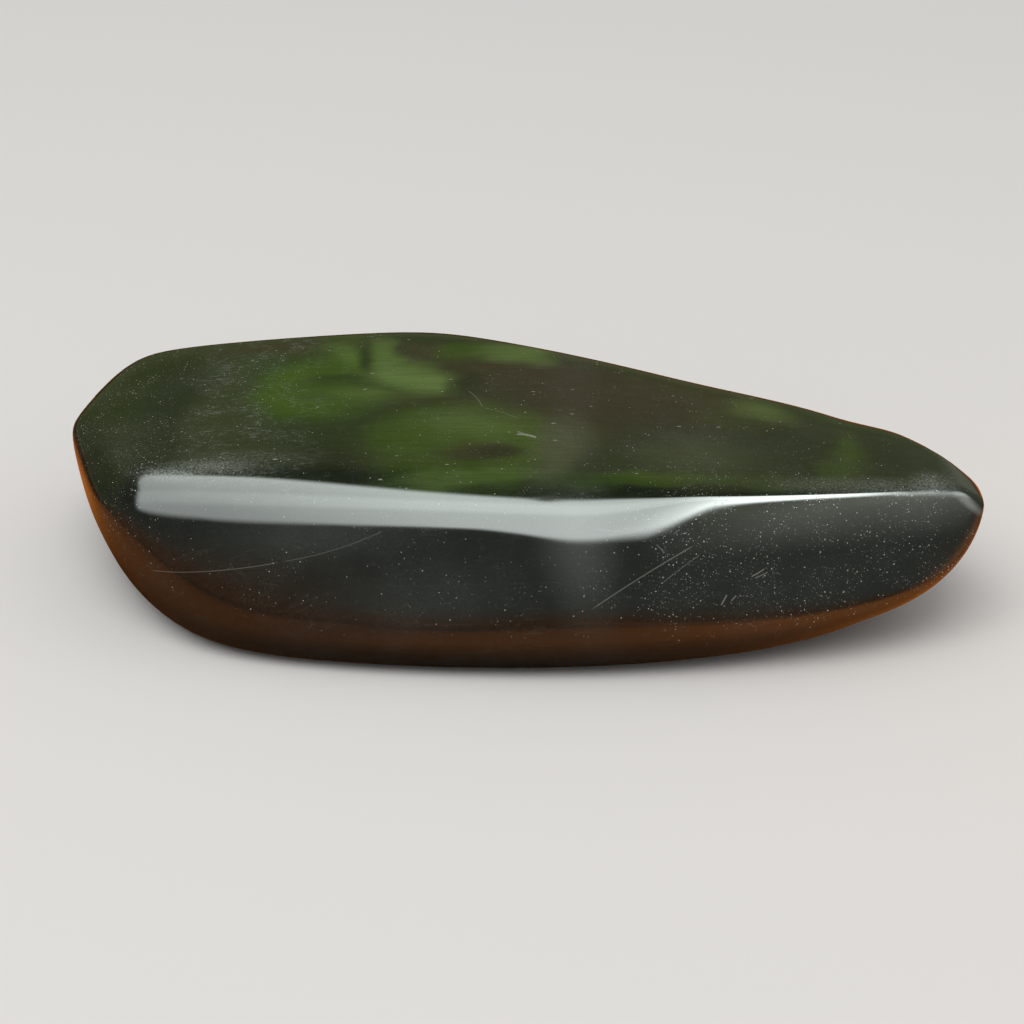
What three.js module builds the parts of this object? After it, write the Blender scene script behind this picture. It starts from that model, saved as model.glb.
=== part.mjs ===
// Polished jet freeform: one solid piece of jet, ground with broad, almost flat cuts and polished all over.
// Its top is a level table, its front belly leans out below the rim, its left end is a crisp oblique face,
// its right end narrows to a raised nose, and its underside has a flat area that it rests on.
// Millimetres. +X runs along the length towards the nose, +Y to the back, +Z up, and the rest is z = 0.
import * as THREE from "three";
import { mergeVertices } from "three/addons/utils/BufferGeometryUtils.js";

// Driving dimensions: the finished stone measures exactly this much.
const LENGTH = 113;
const DEPTH = 61;
const HEIGHT = 21.4;

// The heart is the point inside the stone that every ray of the surface starts from.
const HEART = new THREE.Vector3(-2.4, -2.4, 9.6);

// A cut is one broad pass of the grinding wheel. It touches the stone at a point and faces along an azimuth
// and an elevation in degrees, with azimuth 0 on +X and 90 on +Y. Its bends are the radii that bow it, level
// around the stone and steep up and down its side, and a FLAT bend leaves it straight.
const FLAT = Infinity;

function cut(touch, azimuth, elevation, levelBend = FLAT, steepBend = FLAT) {
  const turn = THREE.MathUtils.degToRad(azimuth);
  const tilt = THREE.MathUtils.degToRad(elevation);
  const outwards = new THREE.Vector3(Math.cos(turn), Math.sin(turn), 0);
  const normal = outwards.multiplyScalar(Math.cos(tilt)).setZ(Math.sin(tilt));
  const level = new THREE.Vector3(-Math.sin(turn), Math.cos(turn), 0);
  const steep = new THREE.Vector3().crossVectors(normal, level);
  return { touch: new THREE.Vector3(...touch), normal, level, steep, levelBend, steepBend };
}

// Cuts that blend softly into each other.
const SOFT_CUTS = {
  top: cut([-13.4, 0.6, 21.6], 0, 90, 500, 700),
  topLeft: cut([-41.4, 1.6, 21.6], 187, 81),
  frontBelly: cut([4.1, -29.2, 10.6], -90, 22, 165, 29),
  nose: cut([56.2, -15.4, 15.2], -6, -12, 16, 14),
  underNose: cut([50.3, -20.2, 3.8], -29, -42),
  noseTop: cut([53.5, -14.4, 18.1], 0, 59),
  noseBack: cut([55, -9.9, 17.5], 31, 36),
  backRight: cut([32.2, 10.2, 15.6], 64, 2),
  back: cut([-28.4, 29.1, 15.6], 96, 4),
  backLeft: cut([-53.8, 22.4, 15.6], 147, -1),
  left: cut([-57.5, 3.7, 15.5], 169, -8),
  leftKeel: cut([-52, -19, 6.6], 205, -35),
  cornerKeel: cut([-43, -23.8, -1.7], 219, -50),
  rightKeel: cut([36.9, -25.4, -0.2], -68, -63),
  noseKeel: cut([51.8, -9.4, 0.9], 10, -45),
  base: cut([0, 0, -0.1], 0, -90),
};

// Cuts made last. They leave a crisp edge round the top of the left end, which softens further down.
const CRISP_CUTS = {
  leftSide: cut([-51.3, -13.9, 17.1], 197, -1, FLAT, 60),
  leftCorner: cut([-45.8, -19.9, 15.7], 222, 4, FLAT, 60),
  leftShoulder: cut([-45, -15.9, 18.9], 207, 50),
};

// Shallow hollows that the hand polishing left: centre, spread along each axis, and depth.
const hollow = (centre, spread, depth) => (
  { centre: new THREE.Vector3(...centre), spread: new THREE.Vector3(...spread), depth }
);
const HOLLOWS = {
  frontDish: hollow([-7.4, -29.4, 10.6], [9, 6, 4.5], 0.35),
  backWaist: hollow([21.6, 10.6, 17.6], [9, 6, 8], 0.25),
  tableBackDip: hollow([-22.4, 8.6, 20.6], [11, 9, 8], 0.25),
  tableFrontDip: hollow([-2.4, -7.4, 20.6], [10, 6, 8], 0.15),
};

// Softness is the width over which two cuts melt together. The rim is well rounded, except that it is nearly
// sharp round the nose and along the front's right half, and the foot of the stone is the softest.
const RIM_SOFTNESS = 1.7;
const SHARP_RIM_SOFTNESS = 0.25;
const FOOT_SOFTNESS = 2.2;
const NOSE_FOOT_SOFTNESS = 1.4;
const CRISP_SOFTNESS = 0.45;
const CRISP_FOOT_SOFTNESS = 2.2;
const SHARPENS_ALONG_X = [6.6, 23.6];
const SOFTENS_ALONG_Y = [-9.4, 2.6];
const NOSE_ALONG_X = [39.6, 55.6];
const FOOT_ALONG_Z = [3.6, 11.6];
const CRISP_ALONG_Z = [5.1, 18.1];

// The surface starts as the panels of a box round the heart. The box is about as big as the stone, so that
// its panels stay even when they are thrown onto the stone.
const BOX = { length: 112, depth: 56, height: 22 };
const PANELS = { length: 44, depth: 24, height: 12 };
const INDICES_PER_PANEL = 6;
// No part of the stone is further from its heart than this, and a ray's end is found by halving it.
const FURTHEST = 80;
const HALVINGS = 40;

const JET_COLOUR = 0x121411;
const JET_ROUGHNESS = 0.12;

const { smoothstep, lerp } = THREE.MathUtils;

// How far a point lies outside one cut: below zero is inside.
function outsideCut({ touch, normal, level, steep, levelBend, steepBend }, point) {
  const offset = point.clone().sub(touch);
  const levelBow = offset.dot(level) ** 2 / (2 * levelBend);
  const steepBow = offset.dot(steep) ** 2 / (2 * steepBend);
  return offset.dot(normal) + levelBow + steepBow;
}

// The largest of some heights, with its corners melted over the softness.
function softLargest(heights, softness) {
  const largest = Math.max(...heights);
  const sum = heights.reduce((total, height) => total + Math.exp((height - largest) / softness), 0);
  return largest + softness * Math.log(sum);
}

function softnessAt({ x, y, z }) {
  const towardsNose = smoothstep(x, ...NOSE_ALONG_X);
  const sharpness = smoothstep(x, ...SHARPENS_ALONG_X) * (1 - smoothstep(y, ...SOFTENS_ALONG_Y));
  const rim = lerp(lerp(RIM_SOFTNESS, SHARP_RIM_SOFTNESS, sharpness), SHARP_RIM_SOFTNESS, towardsNose);
  const foot = lerp(FOOT_SOFTNESS, NOSE_FOOT_SOFTNESS, towardsNose);
  return lerp(foot, rim, smoothstep(z, ...FOOT_ALONG_Z));
}

function crispSoftnessAt({ z }) {
  return lerp(CRISP_FOOT_SOFTNESS, CRISP_SOFTNESS, smoothstep(z, ...CRISP_ALONG_Z));
}

function hollowing(point) {
  return Object.values(HOLLOWS).reduce((total, { centre, spread, depth }) => {
    const away = point.clone().sub(centre).divide(spread);
    return total + depth * Math.exp(-away.lengthSq() / 2);
  }, 0);
}

// How far a point lies outside the whole stone, zero on its surface. The last cut is the level rest.
function outsideStone(point) {
  const softHeights = Object.values(SOFT_CUTS).map((each) => outsideCut(each, point));
  const crispHeights = Object.values(CRISP_CUTS).map((each) => outsideCut(each, point));
  const soft = softLargest(softHeights, softnessAt(point)) + hollowing(point);
  const crisp = softLargest([soft, ...crispHeights], crispSoftnessAt(point));
  return Math.max(crisp, -point.z);
}

// The point where a ray from the heart leaves the stone, found by halving the stretch that holds it.
function surfacePoint(direction) {
  const along = (distance) => HEART.clone().addScaledVector(direction, distance);
  let inner = 0;
  let outer = FURTHEST;
  for (let step = 0; step < HALVINGS; step += 1) {
    const middle = (inner + outer) / 2;
    if (outsideStone(along(middle)) < 0) {
      inner = middle;
    } else {
      outer = middle;
    }
  }
  return along(outer);
}

// The box's panels, thrown onto the stone along the rays from its heart.
function throwPanels() {
  const { length, depth, height } = BOX;
  const panels = new THREE.BoxGeometry(length, depth, height, PANELS.length, PANELS.depth, PANELS.height);
  panels.deleteAttribute("normal");
  panels.deleteAttribute("uv");
  const geometry = mergeVertices(panels);
  const position = geometry.getAttribute("position");
  for (let index = 0; index < position.count; index += 1) {
    const direction = new THREE.Vector3().fromBufferAttribute(position, index).normalize();
    const point = surfacePoint(direction);
    position.setXYZ(index, point.x, point.y, point.z);
  }
  return geometry;
}

// Folds each panel along its outer diagonal, so that edges of the stone run straight. A panel is the pair of
// triangles a b d and b c d, and the other diagonal gives a b c and a c d.
function foldOutwards(geometry) {
  const position = geometry.getAttribute("position");
  const corner = (index) => new THREE.Vector3().fromBufferAttribute(position, index);
  const reach = (one, other) => corner(one).lerp(corner(other), 0.5).distanceTo(HEART);
  const index = geometry.getIndex();
  for (let start = 0; start < index.count; start += INDICES_PER_PANEL) {
    const [a, b, d, , c] = index.array.slice(start, start + INDICES_PER_PANEL);
    if (reach(a, c) > reach(b, d)) {
      index.array.set([a, b, c, a, c, d], start);
    }
  }
  return geometry;
}

// Brings the stone to its driving dimensions, centred over the origin and resting on z = 0.
function fitToSize(geometry) {
  geometry.computeBoundingBox();
  const { min, max } = geometry.boundingBox;
  const size = new THREE.Vector3().subVectors(max, min);
  geometry.translate(-(min.x + max.x) / 2, -(min.y + max.y) / 2, -min.z);
  geometry.scale(LENGTH / size.x, DEPTH / size.y, HEIGHT / size.z);
  return geometry;
}

function makeStone() {
  const geometry = fitToSize(foldOutwards(throwPanels()));
  geometry.computeVertexNormals();
  const jet = new THREE.MeshStandardMaterial({ color: JET_COLOUR, roughness: JET_ROUGHNESS, metalness: 0 });
  const stone = new THREE.Mesh(geometry, jet);
  stone.name = "stone";
  return stone;
}

const part = new THREE.Group();
part.add(makeStone());

export default part;
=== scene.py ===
"""Looks of a polished jet freeform: one stone, grown from the same grinding cuts as its solid.

The stone is a Geometry Nodes surface whose points travel out from its heart until they leave the last cut.
Its finish is near-black jet with painted reflections of green foliage and brown rocks as clouds in the table,
polishing haze and painted highlights on the front, hairlines, scratches and dust. The stage is a pale floor
under soft light, with a tinted surround that only the polish mirrors.
The scene is in metres, and the stone's own dimensions are given in millimetres. +X runs along the length
towards the nose, +Y to the back, +Z up.
"""

import functools
import math
from collections import namedtuple

import bpy
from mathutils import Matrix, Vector


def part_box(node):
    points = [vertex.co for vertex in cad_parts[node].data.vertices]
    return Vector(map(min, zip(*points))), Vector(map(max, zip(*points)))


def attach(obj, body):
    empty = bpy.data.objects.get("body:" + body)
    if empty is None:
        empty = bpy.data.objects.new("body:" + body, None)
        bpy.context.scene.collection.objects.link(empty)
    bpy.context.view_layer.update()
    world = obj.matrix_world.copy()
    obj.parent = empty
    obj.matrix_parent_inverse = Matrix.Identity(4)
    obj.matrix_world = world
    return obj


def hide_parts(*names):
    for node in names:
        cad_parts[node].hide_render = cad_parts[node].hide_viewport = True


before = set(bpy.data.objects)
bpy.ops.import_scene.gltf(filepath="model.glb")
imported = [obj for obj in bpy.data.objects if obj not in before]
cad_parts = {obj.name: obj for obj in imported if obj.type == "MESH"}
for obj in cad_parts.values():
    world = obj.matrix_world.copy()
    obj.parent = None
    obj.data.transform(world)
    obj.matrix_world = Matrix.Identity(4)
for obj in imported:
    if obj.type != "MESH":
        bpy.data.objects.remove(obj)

bl_info = {
    "name": "Polished jet freeform",
    "version": (1, 0, 0),
    "blender": (4, 5, 0),
    "location": "3D View > Sidebar > Jet",
    "description": "Grows a polished jet freeform from its grinding cuts and sets it on a pale stage",
    "category": "Object",
}

MM = 0.001
FLAT = math.inf
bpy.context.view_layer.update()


def mm(*sizes):
    """Sizes given in millimetres, as metres."""
    return tuple(size * MM for size in sizes)


# How an amount changes along a place, a height, an angle or another amount: it goes smoothly from low to high
# between the start and the end. The start may be the larger of these two.
Fade = namedtuple("Fade", "start end low high", defaults=(0.0, 1.0))


# ------------ The stone's cuts ------------

# One broad pass of the grinding wheel. It touches the stone at a point and faces along an azimuth and an
# elevation in degrees, with azimuth 0 on +X and 90 on +Y. Its bends are the radii that bow it, level around
# the stone and steep up and down its side. All lengths are millimetres.
Cut = namedtuple("Cut", "touch azimuth elevation level_bend steep_bend", defaults=(FLAT, FLAT))

# The point inside the stone that its surface grows from, and more than its furthest reach.
HEART = (-2.4, -2.4, 9.6)
FURTHEST = 80

# Cuts that blend softly into each other.
SOFT_CUTS = {
    "top": Cut((-13.4, 0.6, 21.6), 0, 90, 500, 700),
    "top left": Cut((-41.4, 1.6, 21.6), 187, 81),
    "front belly": Cut((4.1, -29.2, 10.6), -90, 22, 165, 29),
    "nose": Cut((56.2, -15.4, 15.2), -6, -12, 16, 14),
    "under nose": Cut((50.3, -20.2, 3.8), -29, -42),
    "nose top": Cut((53.5, -14.4, 18.1), 0, 59),
    "nose back": Cut((55, -9.9, 17.5), 31, 36),
    "back right": Cut((32.2, 10.2, 15.6), 64, 2),
    "back": Cut((-28.4, 29.1, 15.6), 96, 4),
    "back left": Cut((-53.8, 22.4, 15.6), 147, -1),
    "left": Cut((-57.5, 3.7, 15.5), 169, -8),
    "left keel": Cut((-52, -19, 6.6), 205, -35),
    "corner keel": Cut((-43, -23.8, -1.7), 219, -50),
    "right keel": Cut((36.9, -25.4, -0.2), -68, -63),
    "nose keel": Cut((51.8, -9.4, 0.9), 10, -45),
    "base": Cut((0, 0, -0.1), 0, -90),
}

# Cuts made last. They leave a crisp edge round the top of the left end, which softens further down.
CRISP_CUTS = {
    "left side": Cut((-51.3, -13.9, 17.1), 197, -1, FLAT, 60),
    "left corner": Cut((-45.8, -19.9, 15.7), 222, 4, FLAT, 60),
    "left shoulder": Cut((-45, -15.9, 18.9), 207, 50),
}

# Shallow hollows that the hand polishing left, in millimetres.
Hollow = namedtuple("Hollow", "centre spread depth")
HOLLOWS = {
    "front dish": Hollow((-7.4, -29.4, 10.6), (9, 6, 4.5), 0.35),
    "back waist": Hollow((21.6, 10.6, 17.6), (9, 6, 8), 0.25),
    "table back dip": Hollow((-22.4, 8.6, 20.6), (11, 9, 8), 0.25),
    "table front dip": Hollow((-2.4, -7.4, 20.6), (10, 6, 8), 0.15),
    "rim nick": Hollow((3.7, -21.8, 20.2), (1.1, 0.5, 0.4), 0.05),
}

# Where the rim's front edge sharpens and softens again, where the nose begins, how high the foot reaches and
# over which heights the left end's edge turns crisp.
SHARPENS_ALONG_X = Fade(*mm(6.6, 23.6))
SHARPENS_ALONG_Y = Fade(*mm(-9.4, 2.6), 1.0, 0.0)
NOSE_ALONG_X = Fade(*mm(39.6, 55.6))
ABOVE_FOOT = Fade(*mm(3.6, 11.6))
CRISP_UPWARDS = Fade(*mm(5.1, 18.1))

# ------------ The finish's marks ------------

# A painted reflection of the foliage and rocks around the stone, laid into the table's colour: a soft oval in
# the plane of the table, in millimetres, turned by degrees, with a tone from the finish's settings. Later
# clouds lie over earlier ones.
PaintedReflection = namedtuple("PaintedReflection", "centre half turn softness tone strength")
PAINTED_REFLECTIONS = (
    PaintedReflection((-36, 2.6), (6, 17), 0, 0.8, "mist", 0.25),
    PaintedReflection((15, 7), (19, 9.5), -10, 0.7, "brown", 0.8),
    PaintedReflection((6.6, -1), (7, 9), -16, 0.9, "brown", 0.75),
    PaintedReflection((-2, 12), (9, 3.4), -14, 0.7, "brown", 0.8),
    PaintedReflection((-12, 2.4), (7, 2.4), -4, 0.8, "brown", 0.8),
    PaintedReflection((-18.8, -15.6), (12, 3.8), 0, 0.8, "deep", 0.95),
    PaintedReflection((32, -8), (5, 7), 0, 0.9, "deep", 0.6),
    PaintedReflection((-30.7, 21.2), (8.4, 2.4), 3, 0.6, "brown", 0.95),
    PaintedReflection((-24.6, 7.4), (7.8, 9), -8, 0.4, "leaf", 0.75),
    PaintedReflection((-28.6, 8), (3, 7.4), -6, 0.8, "leaf", 0.75),
    PaintedReflection((-20.8, 18.6), (3.8, 6), 16, 0.7, "leaf", 0.85),
    PaintedReflection((-22, 17.6), (1.9, 2.9), 20, 0.9, "sage", 0.45),
    PaintedReflection((-22, 8.2), (4.6, 2.6), 10, 0.9, "deep", 0.5),
    PaintedReflection((-21, 10.6), (5, 0.8), 6, 0.8, "deep", 0.6),
    PaintedReflection((-24, 4.4), (3, 0.9), -24, 0.8, "deep", 0.5),
    PaintedReflection((-19.2, 4.2), (6, 2.4), -16, 0.8, "sage", 0.35),
    PaintedReflection((-18.8, 16.4), (1.4, 6), 14, 0.8, "deep", 0.95),
    PaintedReflection((-16.6, 17.6), (1.6, 6.4), 14, 0.8, "sage", 0.62),
    PaintedReflection((-14.4, 12), (3.4, 4), -40, 0.8, "sage", 0.8),
    PaintedReflection((-11.4, 8.6), (4.2, 3.6), -14, 0.7, "sage", 0.95),
    PaintedReflection((-6.6, 8.2), (2.2, 3.2), 0, 0.8, "deep", 0.95),
    PaintedReflection((-12.2, 19.4), (2.6, 2.8), -20, 0.7, "brown", 0.9),
    PaintedReflection((-6.6, 18.8), (4, 2.7), 0, 0.7, "leaf", 0.7),
    PaintedReflection((0.4, 17.8), (4.4, 2.8), -14, 0.7, "sage", 0.75),
    PaintedReflection((-13, 1.6), (7, 1.8), -6, 0.8, "deep", 0.5),
    PaintedReflection((-7.2, -9.4), (11, 10.4), 2, 0.45, "leaf", 0.62),
    PaintedReflection((-4.8, -4.4), (6.2, 4.4), -6, 0.9, "sage", 0.4),
    PaintedReflection((-12.6, -8), (4.6, 4.8), 0, 0.9, "leaf", 0.35),
    PaintedReflection((1, -10), (2.1, 6.4), -14, 0.8, "leaf", 0.75),
    PaintedReflection((-4.2, -11.8), (4.2, 2.2), 4, 0.6, "brown", 0.85),
    PaintedReflection((-2.6, -12.2), (2.6, 1.5), 4, 0.9, "deep", 0.7),
    PaintedReflection((-5, -17.8), (8.6, 1.5), 6, 0.8, "sage", 0.4),
    PaintedReflection((5, -10.6), (2.9, 7.8), -10, 0.9, "mist", 0.75),
    PaintedReflection((28.4, 0.4), (4.6, 3.8), -24, 0.9, "leaf", 0.3),
    PaintedReflection((31.6, 1.6), (3.4, 2.2), -30, 1.0, "sage", 0.5),
    PaintedReflection((40.6, -8.2), (1.7, 3.9), -8, 0.9, "leaf", 0.6),
    PaintedReflection((38, -13.8), (2.8, 1.8), 50, 0.9, "leaf", 0.45),
    PaintedReflection((17.4, -18), (13, 1.6), 3, 0.8, "leaf", 0.45),
    PaintedReflection((15, -17.4), (4, 1.2), 6, 0.9, "leaf", 0.5),
    PaintedReflection((20, -20.9), (20, 1.1), 1, 0.8, "deep", 0.9),
    PaintedReflection((21.7, -11.6), (6.2, 4.6), 0, 0.9, "mist", 0.4),
    PaintedReflection((46.5, -10), (4, 6), 20, 0.8, "deep", 0.6),
    PaintedReflection((-43.8, 3), (3, 14), -4, 0.7, "deep", 0.9),
)

# A patch of polishing haze, in millimetres along and up on the front or along and deep on the table. On the
# front the patches are partly polishing haze and partly painted highlight, most of all the soft upright
# highlight down the ridge right of its middle.
Haze = namedtuple("Haze", "centre half turn softness strength")
FRONT_HAZES_AND_HIGHLIGHTS = (
    Haze((7.4, 16), (3.4, 3.6), 0, 1.0, 0.1),
    Haze((8, 11.4), (2.8, 5), 8, 1.0, 0.05),
    Haze((-11, 9.8), (9, 3.6), 6, 0.8, 0.035),
    Haze((-22, 16.2), (9, 1.8), 4, 1.0, 0.04),
    Haze((-28, 14.4), (8, 2.4), 4, 1.0, 0.03),
    Haze((36, 14.2), (19, 5), 6, 0.9, 0.025),
    Haze((50, 16.6), (4, 2), 0, 0.9, 0.04),
    Haze((2, 15.6), (16, 2.4), 0, 0.9, 0.015),
    Haze((54.4, 16.5), (1.7, 0.34), -36, 0.9, 0.4),
    Haze((54.6, 17.8), (2, 1.4), -30, 1.0, 0.05),
)
TABLE_HAZES = (
    Haze((-35.4, -12.8), (8.4, 2.4), -3, 0.95, 0.08),
    Haze((-37, -13.2), (5, 1.1), -8, 0.95, 0.2),
    Haze((-42, -13.6), (3, 0.8), -16, 0.95, 0.24),
    Haze((-41, 12), (6, 3), 30, 1.0, 0.03),
    Haze((-47, -5), (4, 10), -20, 1.0, 0.035),
    Haze((43.4, -17), (10, 1.7), 5, 0.9, 0.15),
    Haze((50.6, -15.2), (2.2, 2.4), 0, 0.9, 0.3),
    Haze((54.2, -12), (1.6, 3), 20, 0.9, 0.16),
    Haze((22, -9), (9, 7), 0, 0.9, 0.02),
)

# Grades of dust, finest first: the spacing of their grains, their largest radius, the share of the places
# that hold a grain where dust is thickest, and their brightness. Lengths are millimetres.
Grade = namedtuple("Grade", "spacing size share brightness")
DUST_GRADES = (
    Grade(0.23, 0.08, 0.75, 0.3),
    Grade(0.4, 0.1, 0.75, 0.7),
    Grade(0.9, 0.1, 0.4, 0.95),
)

# One scratch, in millimetres: where it starts and ends, the way the surface faces there, how far its middle
# bulges across that way, its width and its strength.
Scratch = namedtuple("Scratch", "start end facing bulge width strength")
SCRATCHES = (
    Scratch((-43.9, -20.4, 9.6), (-27.6, -24.6, 12.9), (-0.4, -0.8, 0.2), -0.4, 0.07, 0.4),
    Scratch((-27.6, -24.6, 12.9), (-15.2, -24.1, 16.9), (-0.1, -0.8, 0.5), -0.5, 0.07, 0.3),
    Scratch((8.7, -29.6, 9.2), (21.0, -25.5, 15.7), (0.1, -0.9, 0.4), 0.2, 0.09, 0.55),
    Scratch((16.9, -28.1, 11.8), (21.6, -26.1, 14.7), (0.1, -0.9, 0.4), 0.1, 0.08, 0.35),
    Scratch((24, -28.4, 9.2), (24.7, -28, 10.4), (0.1, -0.9, 0.4), 0, 0.11, 0.8),
    Scratch((25.2, -28, 9.6), (25.8, -27.8, 10.2), (0.1, -0.9, 0.4), 0, 0.11, 0.7),
    Scratch((27.6, -27, 12.2), (29.2, -26.3, 12.9), (0.1, -0.9, 0.4), 0, 0.09, 0.7),
    Scratch((28, -27, 12), (29.6, -26.3, 12.5), (0.1, -0.9, 0.4), 0, 0.08, 0.6),
    Scratch((16.4, -25.8, 15.9), (17.4, -26.1, 14.9), (0.1, -0.9, 0.4), 0, 0.1, 0.4),
    Scratch((-6, 5.7, 21.4), (-4.1, 0.5, 21.4), (0, 0, 1), 0.3, 0.11, 0.4),
    Scratch((-4.1, 0.5, 21.4), (0.5, -2.7, 21.3), (0, 0, 1), 0.3, 0.1, 0.3),
    Scratch((0.1, -7, 21.2), (2.6, -7.9, 21.2), (0, 0, 1), 0.3, 0.34, 1.0),
    Scratch((0.2, -6.2, 21.2), (1.7, -7.6, 21.2), (0, 0, 1), 0.1, 0.25, 0.6),
    Scratch((9, -24.7, 17.3), (14.5, -25.3, 16.6), (0.1, -0.8, 0.6), 0.1, 0.07, 0.35),
    Scratch((10.4, -25.3, 16.6), (13.4, -24.6, 17.3), (0.1, -0.8, 0.6), 0.1, 0.07, 0.3),
)

# Directions of the polishing hairlines, with their length and spacing in millimetres. A hairline runs where a
# noise is this near to its middle.
HAIRLINE_WAYS = ((1, 0.1, 0), (0.7, -0.4, 0.6))
HAIRLINE_LENGTH = 18
HAIRLINE_SPACING = 1.3
HAIRLINE_THINNESS = 0.008

# ------------ Settings that a user would change ------------


def length(name, description, default):
    return bpy.props.FloatProperty(name=name, description=description, default=default, unit="LENGTH")


def share(name, description, default):
    return bpy.props.FloatProperty(
        name=name, description=description, default=default, min=0, max=1, subtype="FACTOR"
    )


def colour(name, description, default):
    return bpy.props.FloatVectorProperty(
        name=name, description=description, default=default, size=3, min=0, max=1, subtype="COLOR"
    )


class JetShapeSettings(bpy.types.PropertyGroup):
    """Sizes of the stone's surface."""

    rim_softness: length("Rim softness", "How widely the table melts into the sides", 1.7 * MM)
    sharp_rim_softness: length("Sharp rim softness", "The same round the nose and front right", 0.25 * MM)
    foot_softness: length("Foot softness", "How widely the sides melt into the underside", 2.2 * MM)
    nose_foot_softness: length("Nose foot softness", "The same under the nose", 1.4 * MM)
    crisp_softness: length("Crisp softness", "Width of the edge round the top of the left end", 0.45 * MM)
    crisp_foot_softness: length("Crisp foot softness", "Width of that edge at its lower end", 2.2 * MM)
    waviness: length("Waviness", "Height of the gentle waves left by hand polishing", 0.02 * MM)
    wave_spacing: length("Wave spacing", "Distance between those waves", 14 * MM)
    panel: length("Panel size", "Size of the surface's panels", 0.47 * MM)
    halvings: bpy.props.IntProperty(
        name="Halvings", description="How often the step out from the heart is halved", default=23, min=8
    )


class JetFinishSettings(bpy.types.PropertyGroup):
    """Colours and amounts of the stone's finish."""

    jet: colour("Jet", "Body colour of the jet", (0.0065, 0.007, 0.0055))
    # The table tone and the leaf, sage, brown, mist and deep tones are painted reflections of the foliage and
    # rocks around the stone.
    table: colour("Table tone", "Tint of the table outside the clouds", (0.0135, 0.0195, 0.007))
    leaf: colour("Leaf tone", "Deep green of the clouds in the table", (0.036, 0.068, 0.004))
    sage: colour("Sage tone", "Paler green of the clouds", (0.095, 0.150, 0.036))
    brown: colour("Brown tone", "Brown between the clouds", (0.026, 0.020, 0.010))
    mist: colour("Mist tone", "Greyish green beside the clouds", (0.066, 0.073, 0.038))
    deep: colour("Deep tone", "Darkest green between the clouds", (0.006, 0.009, 0.003))
    haze: colour("Haze", "Colour of the polishing haze", (0.30, 0.32, 0.29))
    dust: colour("Dust", "Colour of the dust grains", (0.42, 0.40, 0.35))
    painted_reflection_strength: share("Clouding", "Strength of the clouds in the table", 1.0)
    dustiness: share("Dustiness", "How much dust lies on the stone", 0.8)
    roughness: share("Roughness", "Roughness of the clean polish", 0.05)


class JetStageSettings(bpy.types.PropertyGroup):
    """The floor, the light and the camera."""

    floor: colour("Floor", "Colour of the floor", (0.74, 0.72, 0.69))
    light_power: bpy.props.FloatProperty(
        name="Light", description="Power of the soft light", default=9.0, unit="POWER"
    )
    sky: bpy.props.FloatProperty(
        name="Sky", description="Brightness of the sky that the rim mirrors", default=6.6, min=0
    )
    camera_distance: length("Camera distance", "From the lens to the stone's middle", 304 * MM)
    camera_elevation: bpy.props.FloatProperty(
        name="Camera elevation",
        description="How far the camera looks down",
        default=math.radians(27),
        subtype="ANGLE",
    )
    camera_view: bpy.props.FloatProperty(
        name="Field of view",
        description="Width of the camera's view",
        default=math.radians(24),
        subtype="ANGLE",
    )


# ------------ Building node trees ------------

GEOMETRY = "GeometryNodeTree"
SHADER = "ShaderNodeTree"
VALUE = "NodeSocketFloat"
COUNT = "NodeSocketInt"
VECTOR = "NodeSocketVector"
MESH = "NodeSocketGeometry"
MATERIAL = "NodeSocketMaterial"

# The Mix node's sockets, by number, for each kind of value: its factor with its two inputs, and its result.
Mix = namedtuple("Mix", "data_type inputs output")
NUMBER_MIX = Mix("FLOAT", (0, 2, 3), 0)
COLOUR_MIX = Mix("RGBA", (0, 6, 7), 2)

# The middle of a noise's values, and how many finer layers a streaky noise has.
NOISE_MIDDLE = 0.5
STREAK_DETAIL = 3.0


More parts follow.
